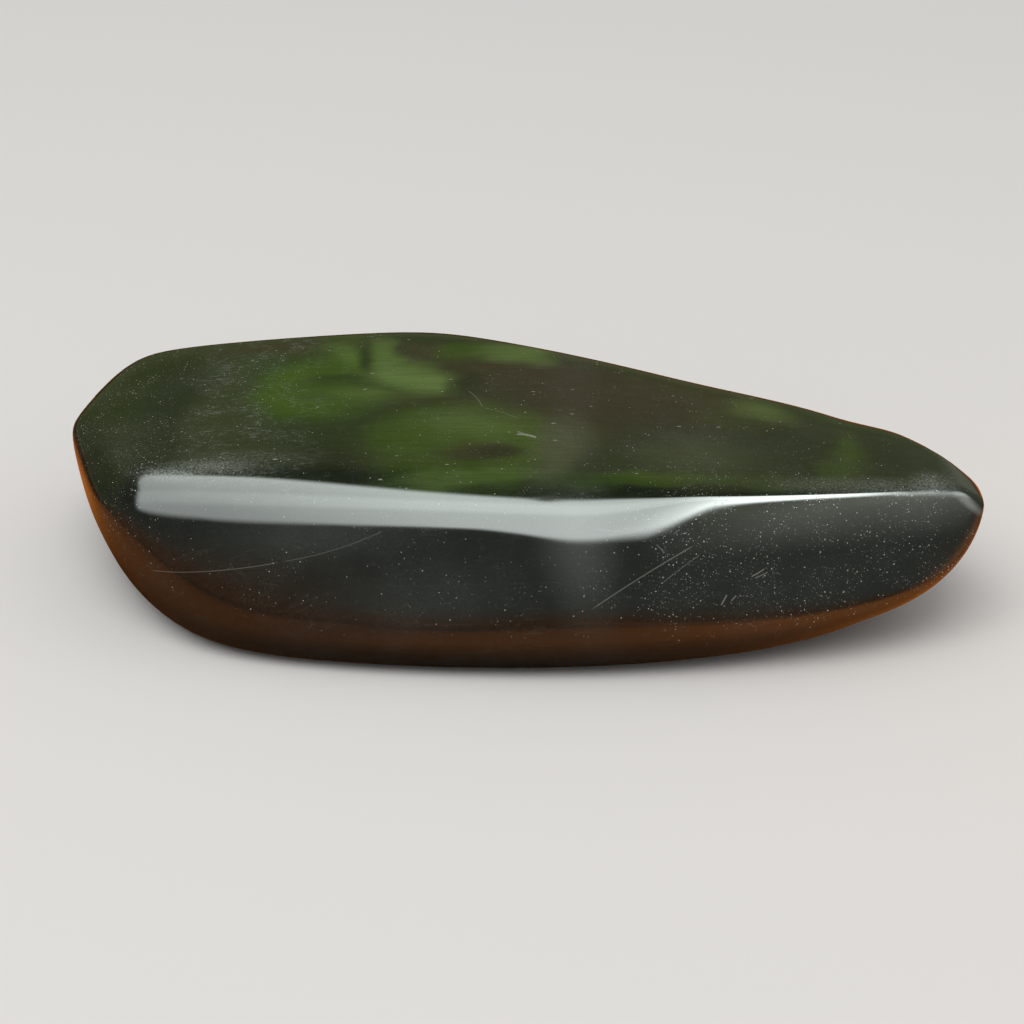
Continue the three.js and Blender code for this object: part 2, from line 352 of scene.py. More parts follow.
class Wiring:
    """Adds nodes to one node tree and wires them up."""

    def __init__(self, tree):
        self.tree = tree

    def node(self, kind, wires=None, **settings):
        """A new node. Wires give its inputs, by name or number, a value or the socket that feeds them."""
        node = self.tree.nodes.new(kind)
        for name, value in settings.items():
            setattr(node, name, value)
        for name, value in (wires or {}).items():
            self.feed(node.inputs[name], value)
        return node

    def feed(self, socket, value):
        """Gives an input a value, or the socket that feeds it."""
        if isinstance(value, bpy.types.NodeSocket):
            self.tree.links.new(value, socket)
        else:
            socket.default_value = value

    def math(self, operation, *values, clamp=False):
        wires = dict(enumerate(values))
        return self.node("ShaderNodeMath", wires, operation=operation, use_clamp=clamp).outputs[0]

    def product(self, *factors):
        """All the factors multiplied, in their order."""
        return functools.reduce(lambda first, second: self.math("MULTIPLY", first, second), factors)

    def largest(self, *values):
        """The largest of the values."""
        return functools.reduce(lambda first, second: self.math("MAXIMUM", first, second), values)

    def vector(self, operation, *values):
        wires = dict(enumerate(values))
        return self.node("ShaderNodeVectorMath", wires, operation=operation).outputs["Vector"]

    def dot(self, first, second):
        wires = {0: first, 1: second}
        return self.node("ShaderNodeVectorMath", wires, operation="DOT_PRODUCT").outputs["Value"]

    def distance(self, first, second):
        wires = {0: first, 1: second}
        return self.node("ShaderNodeVectorMath", wires, operation="DISTANCE").outputs["Value"]

    def scaled(self, vector, factor):
        wires = {"Vector": vector, "Scale": factor}
        return self.node("ShaderNodeVectorMath", wires, operation="SCALE").outputs["Vector"]

    def turned(self, vector, euler, invert=False):
        wires = {"Vector": vector, "Rotation": euler}
        return self.node(
            "ShaderNodeVectorRotate", wires, rotation_type="EULER_XYZ", invert=invert
        ).outputs["Vector"]

    def parts(self, vector):
        return self.node("ShaderNodeSeparateXYZ", {"Vector": vector}).outputs

    def joined(self, x, y, z):
        return self.node("ShaderNodeCombineXYZ", {"X": x, "Y": y, "Z": z}).outputs["Vector"]

    def rise(self, value, start, end, low=0.0, high=1.0):
        """Goes smoothly from low to high as the value goes from start to end."""
        wires = {"Value": value, "From Min": start, "From Max": end, "To Min": low, "To Max": high}
        return self.node("ShaderNodeMapRange", wires, interpolation_type="SMOOTHSTEP").outputs["Result"]

    def summed(self, value, fades):
        """Some fades along one value, added up."""
        amounts = [self.rise(value, *fade) for fade in fades]
        return functools.reduce(lambda first, second: self.math("ADD", first, second), amounts)

    def mixed(self, mix, *values):
        node = self.node("ShaderNodeMix", dict(zip(mix.inputs, values)), data_type=mix.data_type)
        return node.outputs[mix.output]

    def blend(self, factor, first, second):
        """Goes from the first number to the second as the factor goes from 0 to 1."""
        return self.mixed(NUMBER_MIX, factor, first, second)

    def tint(self, factor, first, second):
        """Goes from the first colour to the second as the factor goes from 0 to 1."""
        return self.mixed(COLOUR_MIX, factor, first, second)

    def noise(self, vector, scale, detail=2.0, roughness=0.5):
        wires = {"Vector": vector, "Scale": scale, "Detail": detail, "Roughness": roughness}
        return self.node("ShaderNodeTexNoise", wires).outputs["Fac"]

    def streaks(self, point, stretch, roughness, levels):
        """Noise that is squeezed and stretched into streaks, its levels given as a fade."""
        stretched = self.vector("MULTIPLY", point, stretch)
        return self.rise(self.noise(stretched, 1.0, STREAK_DETAIL, roughness), *levels)

    def group(self, tree, wires):
        """Places a node group and returns its first output."""
        kind = "GeometryNodeGroup" if tree.bl_idname == GEOMETRY else "ShaderNodeGroup"
        node = self.tree.nodes.new(kind)
        node.node_tree = tree
        for name, value in wires.items():
            self.feed(node.inputs[name], value)
        return node.outputs[0]


def new_group(name, kind, inputs, output, output_type):
    """An empty node group, as its wiring, its inputs by name and the socket that its result goes to."""
    tree = bpy.data.node_groups.new(name, kind)
    for label, socket_type in inputs.items():
        tree.interface.new_socket(label, in_out="INPUT", socket_type=socket_type)
    tree.interface.new_socket(output, in_out="OUTPUT", socket_type=output_type)
    given = tree.nodes.new("NodeGroupInput").outputs
    result = tree.nodes.new("NodeGroupOutput").inputs[0]
    return Wiring(tree), given, result


def opaque(colour_value):
    """A colour with full alpha."""
    return (*colour_value, 1.0)


# ------------ The stone's surface ------------


def cut_group():
    """How far a point lies outside a grinding cut: below zero is inside. Its bows are one over its bends."""
    inputs = {
        "Point": VECTOR,
        "Touch": VECTOR,
        "Azimuth": VALUE,
        "Elevation": VALUE,
        "Level bow": VALUE,
        "Steep bow": VALUE,
    }
    wiring, given, result = new_group("Grinding cut", GEOMETRY, inputs, "Height", VALUE)
    offset = wiring.vector("SUBTRACT", given["Point"], given["Touch"])
    pitch = wiring.product(given["Elevation"], -1.0)
    facing = wiring.joined(0.0, pitch, given["Azimuth"])
    outwards, level, steep = wiring.parts(wiring.turned(offset, facing, invert=True))
    height = outwards
    for way, bow in ((level, given["Level bow"]), (steep, given["Steep bow"])):
        square = wiring.product(way, way)
        half_bow = wiring.product(bow, 0.5)
        height = wiring.math("MULTIPLY_ADD", square, half_bow, height)
    wiring.feed(result, height)
    return wiring.tree


def melt_group():
    """The larger of two heights, with the corner between them melted over the softness."""
    inputs = {"First": VALUE, "Second": VALUE, "Softness": VALUE}
    wiring, given, result = new_group("Melted larger", GEOMETRY, inputs, "Height", VALUE)
    larger = wiring.largest(given["First"], given["Second"])
    smaller = wiring.math("MINIMUM", given["First"], given["Second"])
    gap = wiring.math("SUBTRACT", smaller, larger)
    fade = wiring.math("EXPONENT", wiring.math("DIVIDE", gap, given["Softness"]))
    melted = wiring.math("LOGARITHM", wiring.math("ADD", fade, 1.0), math.e)
    wiring.feed(result, wiring.math("MULTIPLY_ADD", melted, given["Softness"], larger))
    return wiring.tree


def hollow_group():
    """How deep one shallow hollow is at a point."""
    inputs = {"Point": VECTOR, "Centre": VECTOR, "Spread": VECTOR, "Depth": VALUE}
    wiring, given, result = new_group("Shallow hollow", GEOMETRY, inputs, "Depth", VALUE)
    away = wiring.vector("SUBTRACT", given["Point"], given["Centre"])
    away = wiring.vector("DIVIDE", away, given["Spread"])
    fade = wiring.math("EXPONENT", wiring.product(wiring.dot(away, away), -0.5))
    wiring.feed(result, wiring.product(fade, given["Depth"]))
    return wiring.tree


# The inputs that the stone's trees share. Each is named as its setting is.
SOFTNESSES = ("Rim softness", "Sharp rim softness", "Foot softness", "Nose foot softness")
SURFACE_INPUTS = (*SOFTNESSES, "Crisp softness", "Crisp foot softness", "Waviness", "Wave spacing")
POINT_COUNTS = ("Points along", "Points deep", "Points high")


def softness_group():
    """How widely the soft cuts melt into each other at a point."""
    inputs = {"Point": VECTOR, **dict.fromkeys(SOFTNESSES, VALUE)}
    wiring, given, result = new_group("Softness at a point", GEOMETRY, inputs, "Softness", VALUE)
    x, y, z = wiring.parts(given["Point"])
    towards_right = wiring.rise(x, *SHARPENS_ALONG_X)
    towards_front = wiring.rise(y, *SHARPENS_ALONG_Y)
    towards_nose = wiring.rise(x, *NOSE_ALONG_X)
    sharpness = wiring.product(towards_right, towards_front)
    rim = wiring.blend(sharpness, given["Rim softness"], given["Sharp rim softness"])
    rim = wiring.blend(towards_nose, rim, given["Sharp rim softness"])
    foot = wiring.blend(towards_nose, given["Foot softness"], given["Nose foot softness"])
    wiring.feed(result, wiring.blend(wiring.rise(z, *ABOVE_FOOT), foot, rim))
    return wiring.tree


def outside_group():
    """How far a point lies outside the whole stone, zero on its surface."""
    inputs = {"Point": VECTOR, **dict.fromkeys(SURFACE_INPUTS, VALUE)}
    wiring, given, result = new_group("Outside the stone", GEOMETRY, inputs, "Height", VALUE)
    cut_tree, melt_tree, hollow_tree = cut_group(), melt_group(), hollow_group()
    point = given["Point"]

    def height_above(cut):
        wires = {
            "Point": point,
            "Touch": mm(*cut.touch),
            "Azimuth": math.radians(cut.azimuth),
            "Elevation": math.radians(cut.elevation),
            "Level bow": 1 / (cut.level_bend * MM),
            "Steep bow": 1 / (cut.steep_bend * MM),
        }
        return wiring.group(cut_tree, wires)

    def melted(height, cuts, softness):
        for cut in cuts:
            wires = {"First": height, "Second": height_above(cut), "Softness": softness}
            height = wiring.group(melt_tree, wires)
        return height

    softness_wires = {name: given[name] for name in ("Point", *SOFTNESSES)}
    softness = wiring.group(softness_group(), softness_wires)
    first_cut, *other_cuts = SOFT_CUTS.values()
    height = melted(height_above(first_cut), other_cuts, softness)
    for hollow in HOLLOWS.values():
        wires = {
            "Point": point,
            "Centre": mm(*hollow.centre),
            "Spread": mm(*hollow.spread),
            "Depth": hollow.depth * MM,
        }
        height = wiring.math("ADD", height, wiring.group(hollow_tree, wires))
    waves = wiring.noise(point, wiring.math("DIVIDE", 1.0, given["Wave spacing"]), detail=1.0)
    wave = wiring.math("SUBTRACT", waves, NOISE_MIDDLE)
    height = wiring.math("MULTIPLY_ADD", wave, given["Waviness"], height)
    z = wiring.parts(point)["Z"]
    crispness = wiring.rise(z, *CRISP_UPWARDS)
    edge_softness = wiring.blend(crispness, given["Crisp foot softness"], given["Crisp softness"])
    height = melted(height, CRISP_CUTS.values(), edge_softness)
    below_floor = wiring.product(z, -1.0)
    wiring.feed(result, wiring.largest(height, below_floor))
    return wiring.tree


def stone_tree():
    """Sends a box's points out from the heart of the stone to its surface, and fits them to its box."""
    inputs = {
        "Heart": VECTOR,
        "Box": VECTOR,
        **dict.fromkeys(POINT_COUNTS, COUNT),
        "Furthest": VALUE,
        "Halvings": COUNT,
        **dict.fromkeys(SURFACE_INPUTS, VALUE),
        "Low corner": VECTOR,
        "High corner": VECTOR,
        "Material": MATERIAL,
    }
    wiring, given, result = new_group("Jet stone", GEOMETRY, inputs, "Stone", MESH)
    box_wires = {f"Vertices {axis}": given[name] for axis, name in zip("XYZ", POINT_COUNTS)}
    box = wiring.node("GeometryNodeMeshCube", {"Size": given["Box"], **box_wires}).outputs["Mesh"]
    position = wiring.node("GeometryNodeInputPosition").outputs["Position"]
    aimed = wiring.node(
        "GeometryNodeStoreNamedAttribute",
        {"Geometry": box, "Name": "direction", "Value": wiring.vector("NORMALIZE", position)},
        data_type="FLOAT_VECTOR",
        domain="POINT",
    ).outputs["Geometry"]
    gathered = wiring.node("GeometryNodeSetPosition", {"Geometry": aimed, "Position": given["Heart"]})

    begin = wiring.node("GeometryNodeRepeatInput")
    end = wiring.node("GeometryNodeRepeatOutput")
    begin.pair_with_output(end)
    end.repeat_items.new("FLOAT", "Step")
    wiring.feed(begin.inputs["Iterations"], given["Halvings"])
    wiring.feed(begin.inputs["Geometry"], gathered.outputs["Geometry"])
    wiring.feed(begin.inputs["Step"], wiring.product(given["Furthest"], 0.5))
    direction = wiring.node(
        "GeometryNodeInputNamedAttribute", {"Name": "direction"}, data_type="FLOAT_VECTOR"
    ).outputs["Attribute"]
    ahead = wiring.vector("ADD", position, wiring.scaled(direction, begin.outputs["Step"]))
    rule_wires = {name: given[name] for name in SURFACE_INPUTS}
    height = wiring.group(outside_group(), {"Point": ahead, **rule_wires})
    inside = wiring.node("FunctionNodeCompare", {0: height, 1: 0.0}, operation="LESS_THAN").outputs["Result"]
    stepped = wiring.node(
        "GeometryNodeSetPosition",
        {"Geometry": begin.outputs["Geometry"], "Selection": inside, "Position": ahead},
    )
    wiring.feed(end.inputs["Geometry"], stepped.outputs["Geometry"])
    wiring.feed(end.inputs["Step"], wiring.product(begin.outputs["Step"], 0.5))

    grown = end.outputs["Geometry"]
    bounds = wiring.node("GeometryNodeBoundBox", {"Geometry": grown}).outputs
    grown_size = wiring.vector("SUBTRACT", bounds["Max"], bounds["Min"])
    fitted_size = wiring.vector("SUBTRACT", given["High corner"], given["Low corner"])
    fraction = wiring.vector("DIVIDE", wiring.vector("SUBTRACT", position, bounds["Min"]), grown_size)
    place = wiring.vector("MULTIPLY_ADD", fraction, fitted_size, given["Low corner"])
    stone = wiring.node("GeometryNodeSetPosition", {"Geometry": grown, "Position": place})
    for kind, wires in (
        ("GeometryNodeRemoveAttribute", {"Name": "direction"}),
        ("GeometryNodeSetShadeSmooth", {"Shade Smooth": True}),
        ("GeometryNodeRealizeInstances", {}),
        ("GeometryNodeSetMaterial", {"Material": given["Material"]}),
    ):
        previous = stone.outputs[0]
        stone = wiring.node(kind, wires)
        wiring.feed(stone.inputs["Geometry"], previous)
    wiring.feed(result, stone.outputs["Geometry"])
    return wiring.tree


def grow(name, tree, settings):
    """Makes a plain mesh object from a Geometry Nodes tree and the values of its inputs."""
    carrier = bpy.data.objects.new(name, bpy.data.meshes.new(name))
    bpy.context.scene.collection.objects.link(carrier)
    modifier = carrier.modifiers.new(name, "NODES")
    modifier.node_group = tree
    for item in tree.interface.items_tree:
        if item.in_out == "INPUT":
            modifier[item.identifier] = settings[item.name]
    depsgraph = bpy.context.evaluated_depsgraph_get()
    mesh = bpy.data.meshes.new_from_object(carrier.evaluated_get(depsgraph))
    if not mesh.polygons:
        raise RuntimeError(f"{name} grew no faces")
    carrier.modifiers.remove(modifier)
    bare = carrier.data
    mesh.name = name
    carrier.data = mesh
    bpy.data.meshes.remove(bare)
    return carrier


# ------------ The jet's finish ------------

# A dust grain's smallest radius as a share of its grade's largest, and the share of a grain's radius, or of a
# scratch's width, that is bright all over.
SMALLEST_GRAIN = 0.3
GRAIN_CORE = 0.6
SCRATCH_CORE = 0.3

# How quickly a scratch's ends swell, and how far off its plane it still shows, in millimetres.
SCRATCH_SWELL = Fade(0.0, 0.3)
SCRATCH_REACH = Fade(5.0, 4.0)

# The painted reflection clouds' outlines wobble by up to some millimetres, and fine streaks run along the
# table through them.
REFLECTION_WOBBLE_SCALE = 0.13
REFLECTION_WOBBLE = (6.0, 5.0, 0.0)
REFLECTION_STREAKS = (0.14, 2.2, 1.0)
REFLECTION_STREAK_ROUGHNESS = 0.7
REFLECTION_STREAK_TONE = Fade(0.3, 0.7, 0.86, 1.14)
PAINTED_REFLECTIONS_UPWARDS = Fade(16.5, 19.5)

# Broad patches, which the film, the dust and the gloss follow.
PATCH_SCALE = 0.16

# The haze is a thin film with a fine grain, and streaks that gather in clusters on the table's left.
HAZE_FILM = Fade(0.35, 0.7, 0.005, 0.018)
HAZE_UPWARDS = Fade(17.5, 19.0)
HAZE_GRAIN_SCALE = 3.6
HAZE_GRAIN_ROUGHNESS = 0.8
HAZE_GRAIN = Fade(0.32, 0.68, 0.3, 1.7)
HAZE_STREAKS = (0.8, 2.8, 1.2)
HAZE_STREAK_ROUGHNESS = 0.8
HAZE_STREAK_LEVELS = Fade(0.48, 0.7)
HAZE_STREAKS_ALONG_X = (Fade(-42.0, -39.0), Fade(-19.0, -31.0, 0.15, 1.0))
HAZE_STREAK_STRENGTH = 0.3
HAZE_CLUSTER_SCALE = 0.3
HAZE_CLUSTERS = Fade(0.42, 0.62, 0.1, 1.0)

# Where dust lies, in millimetres: on the front's right half, at the left end, on the table and more to its
# left, and nowhere low down. The least dust is that of all other places.
DUST_PATCHES = Fade(0.38, 0.58, 0.2, 1.0)
FRONT_DUST_ALONG_X = Fade(2.0, 22.0)
FRONT_DUST_ALONG_Y = Fade(-12.0, -17.0)
LEFT_DUST_ALONG_X = Fade(-41.0, -44.0)
LEFT_DUST_UPWARDS = Fade(12.0, 16.0)
TABLE_DUST_ALONG_X = Fade(-22.0, -36.0, 0.14, 0.7)
TABLE_DUST_UPWARDS = Fade(18.5, 20.0)
DUST_UPWARDS = Fade(4.0, 10.0)
LEAST_DUST = 0.16

# How far each dust grade's lattice is shifted: along x in its own spacings, so that no two grades line up.
LATTICE_SHIFT = (31.0, 17.0, 11.0)

# Faint flecks that lie lengthwise on the table.
FLECK_STRETCH = (0.5, 1.0, 1.0)
FLECK_SPACING = 1.3
FLECK_SIZE = 0.2
FLECK_SHARE = Fade(0.42, 0.62, 0.06, 0.5)
FLECK_BRIGHTNESS = 0.4

# How clearly the fine marks show, by how much each thing roughens the polish, between which levels of the
# patches they do so, and jet's refractive index.
SCRATCHES_SHOW = 0.45
HAIRLINES_SHOW = 0.03
HAZE_ROUGHENS = 0.35
MARKS_ROUGHEN = 0.5
PATCHES_ROUGHEN = 0.03
PATCH_LEVELS = (0.35, 0.75)
JET_IOR = 1.66


def oval_group():
    """A soft-edged oval mask. Along and Across are its half sizes' directions, divided by those sizes."""
    name = "Soft oval"
    if name in bpy.data.node_groups:
        return bpy.data.node_groups[name]
    inputs = {"Point": VECTOR, "Centre": VECTOR, "Along": VECTOR, "Across": VECTOR, "Softness": VALUE}
    wiring, given, result = new_group(name, SHADER, inputs, "Mask", VALUE)
    away = wiring.vector("SUBTRACT", given["Point"], given["Centre"])
    along = wiring.dot(away, given["Along"])
    across = wiring.dot(away, given["Across"])
    squared = wiring.math("MULTIPLY_ADD", across, across, wiring.product(along, along))
    outer = wiring.math("ADD", 1.0, given["Softness"])
    inner = wiring.math("SUBTRACT", 1.0, given["Softness"])
    wiring.feed(result, wiring.rise(wiring.math("SQRT", squared), outer, inner))
    return wiring.tree


def oval_mask(wiring, point, oval):
    """The mask of one oval, scaled by its strength."""
    turn = math.radians(oval.turn)
    wires = {
        "Point": point,
        "Centre": (*oval.centre, 0.0),
        "Along": (math.cos(turn) / oval.half[0], math.sin(turn) / oval.half[0], 0.0),
        "Across": (-math.sin(turn) / oval.half[1], math.cos(turn) / oval.half[1], 0.0),
        "Softness": oval.softness,
    }
    return wiring.product(wiring.group(oval_group(), wires), oval.strength)


def grain_group():
    """Small round grains, each of its own size, in a share of the cells of a loose lattice."""
    inputs = {"Point": VECTOR, "Spacing": VALUE, "Size": VALUE, "Share": VALUE}
    wiring, given, result = new_group("Dust grains", SHADER, inputs, "Mask", VALUE)
    scale = wiring.math("DIVIDE", 1.0, given["Spacing"])
    cell = wiring.node("ShaderNodeTexVoronoi", {"Vector": given["Point"], "Scale": scale})
    lot, chance, _ = wiring.parts(cell.outputs["Color"])
    size = wiring.math("DIVIDE", given["Size"], given["Spacing"])
    radius = wiring.product(size, wiring.rise(lot, 0.0, 1.0, SMALLEST_GRAIN, 1.0))
    grain = wiring.rise(cell.outputs["Distance"], radius, wiring.product(radius, GRAIN_CORE))
    chosen = wiring.math("LESS_THAN", chance, given["Share"])
    wiring.feed(result, wiring.product(grain, chosen))
    return wiring.tree


def scratch_group():
    """A fine curved line from a start, with tapered ends. Along and Across are unit directions."""
    inputs = {
        "Point": VECTOR,
        "Start": VECTOR,
        "Along": VECTOR,
        "Across": VECTOR,
        "Facing": VECTOR,
        "Length": VALUE,
        "Bulge": VALUE,
        "Width": VALUE,
    }
    wiring, given, result = new_group("Scratch", SHADER, inputs, "Mask", VALUE)
    away = wiring.vector("SUBTRACT", given["Point"], given["Start"])
    fraction = wiring.math("DIVIDE", wiring.dot(away, given["Along"]), given["Length"])
    rest = wiring.math("SUBTRACT", 1.0, fraction)
    # A fraction times its rest is a quarter at the middle, so four of them swell to one.
    swell = wiring.product(fraction, rest, 4.0)
    centre = wiring.product(swell, given["Bulge"])
    off = wiring.math("ABSOLUTE", wiring.math("SUBTRACT", wiring.dot(away, given["Across"]), centre))
    line = wiring.rise(off, given["Width"], wiring.product(given["Width"], SCRATCH_CORE))
    taper = wiring.rise(swell, *SCRATCH_SWELL)
    near = wiring.rise(wiring.math("ABSOLUTE", wiring.dot(away, given["Facing"])), *SCRATCH_REACH)
    wiring.feed(result, wiring.product(line, taper, near))
    return wiring.tree


def hairline_group():
    """Many faint straight hairlines. The three directions are divided by the lines' spacings along them."""
    inputs = {"Point": VECTOR, "Along": VECTOR, "Across": VECTOR, "Up": VECTOR, "Thinness": VALUE}
    wiring, given, result = new_group("Hairlines", SHADER, inputs, "Mask", VALUE)
    ways = [wiring.dot(given["Point"], given[name]) for name in ("Along", "Across", "Up")]
    level = wiring.noise(wiring.joined(*ways), 1.0, detail=1.0)
    off = wiring.math("ABSOLUTE", wiring.math("SUBTRACT", level, NOISE_MIDDLE))
    wiring.feed(result, wiring.rise(off, given["Thinness"], 0.0))
    return wiring.tree


def colour_with_painted_reflections(wiring, point, finish):
    """The jet's body colour, with painted reflections of green foliage and brown rocks as clouds in its
    table.
    """
    wobble = wiring.node("ShaderNodeTexNoise", {"Vector": point, "Scale": REFLECTION_WOBBLE_SCALE, "Detail": 2.0})
    shift = wiring.vector("SUBTRACT", wobble.outputs["Color"], (NOISE_MIDDLE, NOISE_MIDDLE, NOISE_MIDDLE))
    drawn = wiring.vector("MULTIPLY_ADD", shift, REFLECTION_WOBBLE, point)
    # The table's tint and its clouds are painted reflections of the foliage and rocks around the stone.
    clouds = opaque(finish.table)
    for reflection_patch in PAINTED_REFLECTIONS:
        clouds = wiring.tint(oval_mask(wiring, drawn, reflection_patch), clouds, opaque(getattr(finish, reflection_patch.tone)))
    streaks = wiring.streaks(point, REFLECTION_STREAKS, REFLECTION_STREAK_ROUGHNESS, REFLECTION_STREAK_TONE)
    clouds = wiring.scaled(clouds, streaks)
    depth = wiring.product(wiring.rise(wiring.parts(point)["Z"], *PAINTED_REFLECTIONS_UPWARDS), finish.painted_reflection_strength)
    return wiring.tint(depth, opaque(finish.jet), clouds)


def haze_amount(wiring, point, patchy):
    """How strongly the polishing haze lies on the surface, with painted highlights among its patches on the
    front.
    """
    x, _, z = wiring.parts(point)
    on_table = wiring.rise(z, *HAZE_UPWARDS)
    haze = wiring.rise(patchy, *HAZE_FILM)
    for patch in TABLE_HAZES:
        haze = wiring.math("MULTIPLY_ADD", oval_mask(wiring, point, patch), on_table, haze)
    grain = wiring.noise(point, HAZE_GRAIN_SCALE, detail=1.0, roughness=HAZE_GRAIN_ROUGHNESS)
    haze = wiring.product(haze, wiring.rise(grain, *HAZE_GRAIN))
    front_view = wiring.joined(x, z, 0.0)
    # The front's patches are partly painted highlight, such as the soft one down the ridge.
    for patch in FRONT_HAZES_AND_HIGHLIGHTS:
        haze = wiring.math("ADD", haze, oval_mask(wiring, front_view, patch))
    streaks = wiring.streaks(point, HAZE_STREAKS, HAZE_STREAK_ROUGHNESS, HAZE_STREAK_LEVELS)
    clusters = wiring.rise(wiring.noise(point, HAZE_CLUSTER_SCALE, detail=3.0), *HAZE_CLUSTERS)
    along = wiring.product(*(wiring.rise(x, *fade) for fade in HAZE_STREAKS_ALONG_X))
    place = wiring.product(along, on_table, clusters)
    return wiring.math("MULTIPLY_ADD", wiring.product(streaks, place), HAZE_STREAK_STRENGTH, haze)


def dust_amount(wiring, point, patchy, finish):
    """Where dust grains lie, and how bright they are."""
    x, y, z = wiring.parts(point)
    grains = grain_group()
    on_front = wiring.product(wiring.rise(x, *FRONT_DUST_ALONG_X), wiring.rise(y, *FRONT_DUST_ALONG_Y))
    on_left = wiring.product(wiring.rise(x, *LEFT_DUST_ALONG_X), wiring.rise(z, *LEFT_DUST_UPWARDS))
    table = wiring.rise(z, *TABLE_DUST_UPWARDS)
    on_table = wiring.product(table, wiring.rise(x, *TABLE_DUST_ALONG_X))
    place = wiring.largest(on_front, on_left, LEAST_DUST, on_table)
    patch = wiring.rise(patchy, *DUST_PATCHES)
    density = wiring.product(place, patch, wiring.rise(z, *DUST_UPWARDS), finish.dustiness)
    dust = 0.0
    along, deep, high = LATTICE_SHIFT
    for grade in DUST_GRADES:
        shifted = wiring.vector("ADD", point, (along * grade.spacing, deep, high))
        share_of_cells = wiring.product(density, grade.share)
        wires = {"Point": shifted, "Spacing": grade.spacing, "Size": grade.size, "Share": share_of_cells}
        dust = wiring.largest(dust, wiring.product(wiring.group(grains, wires), grade.brightness))
    dashes = wiring.vector("MULTIPLY", point, FLECK_STRETCH)
    table_share = wiring.product(table, wiring.rise(patchy, *FLECK_SHARE))
    wires = {"Point": dashes, "Spacing": FLECK_SPACING, "Size": FLECK_SIZE, "Share": table_share}
    return wiring.largest(dust, wiring.product(wiring.group(grains, wires), FLECK_BRIGHTNESS))


def scratch_amount(wiring, point):
    """The longer scratches, each drawn from its start to its end."""
    scratch_tree = scratch_group()
    marks = 0.0
    for scratch in SCRATCHES:
        start, end = Vector(scratch.start), Vector(scratch.end)
        along = (end - start).normalized()
        across = Vector(scratch.facing).cross(along).normalized()
        wires = {
            "Point": point,
            "Start": start,
            "Along": along,
            "Across": across,
            "Facing": along.cross(across),
            "Length": (end - start).length,
            "Bulge": scratch.bulge,
            "Width": scratch.width,
        }
        marks = wiring.largest(marks, wiring.product(wiring.group(scratch_tree, wires), scratch.strength))
    return marks


def hairline_amount(wiring, point):
    """Faint polishing hairlines in two directions."""
    tree = hairline_group()
    lines = 0.0
    for way in HAIRLINE_WAYS:
        along = Vector(way).normalized()
        across = along.orthogonal().normalized()
        wires = {
            "Point": point,
            "Along": along / HAIRLINE_LENGTH,
            "Across": across / HAIRLINE_SPACING,
            "Up": along.cross(across) / HAIRLINE_SPACING,
            "Thinness": HAIRLINE_THINNESS,
        }
        lines = wiring.largest(lines, wiring.group(tree, wires))
    return lines


def bare_material(name):
    """A new material without nodes, and its wiring."""
    material = bpy.data.materials.new(name)
    material.use_nodes = True
    material.node_tree.nodes.clear()
    return material, Wiring(material.node_tree)


def jet_material(finish):
    """Near-black jet under a high polish."""
    material, wiring = bare_material("polished jet")
    place = wiring.node("ShaderNodeTexCoord").outputs["Object"]
    point = wiring.scaled(place, 1 / MM)

    patchy = wiring.noise(point, PATCH_SCALE)
    haze = haze_amount(wiring, point, patchy)
    dust = dust_amount(wiring, point, patchy, finish)
    marks = wiring.largest(wiring.product(scratch_amount(wiring, point), SCRATCHES_SHOW), dust)
    film = wiring.math("MULTIPLY_ADD", hairline_amount(wiring, point), HAIRLINES_SHOW, haze)
    base = wiring.tint(film, colour_with_painted_reflections(wiring, point, finish), opaque(finish.haze))
    base = wiring.tint(marks, base, opaque(finish.dust))

    gloss = wiring.rise(patchy, *PATCH_LEVELS, finish.roughness, finish.roughness + PATCHES_ROUGHEN)
    gloss = wiring.math("MULTIPLY_ADD", haze, HAZE_ROUGHENS, gloss)
    gloss = wiring.math("MULTIPLY_ADD", marks, MARKS_ROUGHEN, gloss, clamp=True)

    wires = {"Base Color": base, "Roughness": gloss, "IOR": JET_IOR}
    skin = wiring.node("ShaderNodeBsdfPrincipled", wires)
    wiring.node("ShaderNodeOutputMaterial", {"Surface": skin.outputs["BSDF"]})
    return material


# ------------ The stage ------------

AIM = Vector(mm(-0.4, -3.2, 8.6))
SENSOR = 36.0
CLIP_START = 0.01
FLOOR_HALF = 3.0
FLOOR_ROUGHNESS = 0.9
FLOOR_SHINE = 0.1
LIGHT_PLACE = Vector((-0.25, -0.5, 1.1))
LIGHT_SIDE = 1.1
PLAIN_SURROUND = (0.55, 0.56, 0.57)

# The warm table, in metres. Its glow is dark under the stone, a painted shadow of the stone, and grows from
# there outwards, less so far off, and its glow changes along the stone and towards the back.
TABLE_GAP = 0.2 * MM
TABLE_COLOUR = (0.57, 0.175, 0.027)
TABLE_SQUASH = (0.6, 1.0, 0.0)
TABLE_SHADOW_AND_FALLOFF = (Fade(0.027, 0.045), Fade(0.05, 0.17, 1.0, 0.4))
TABLE_ALONG_X = (
    Fade(-0.008, -0.03, 1.0, 0.7),
    Fade(-0.035, -0.055, 1.0, 1.25),
    Fade(0.0, 0.07, 1.0, 2.2),
)
TABLE_ALONG_Y = Fade(0.02, 0.05, 1.0, 0.35)

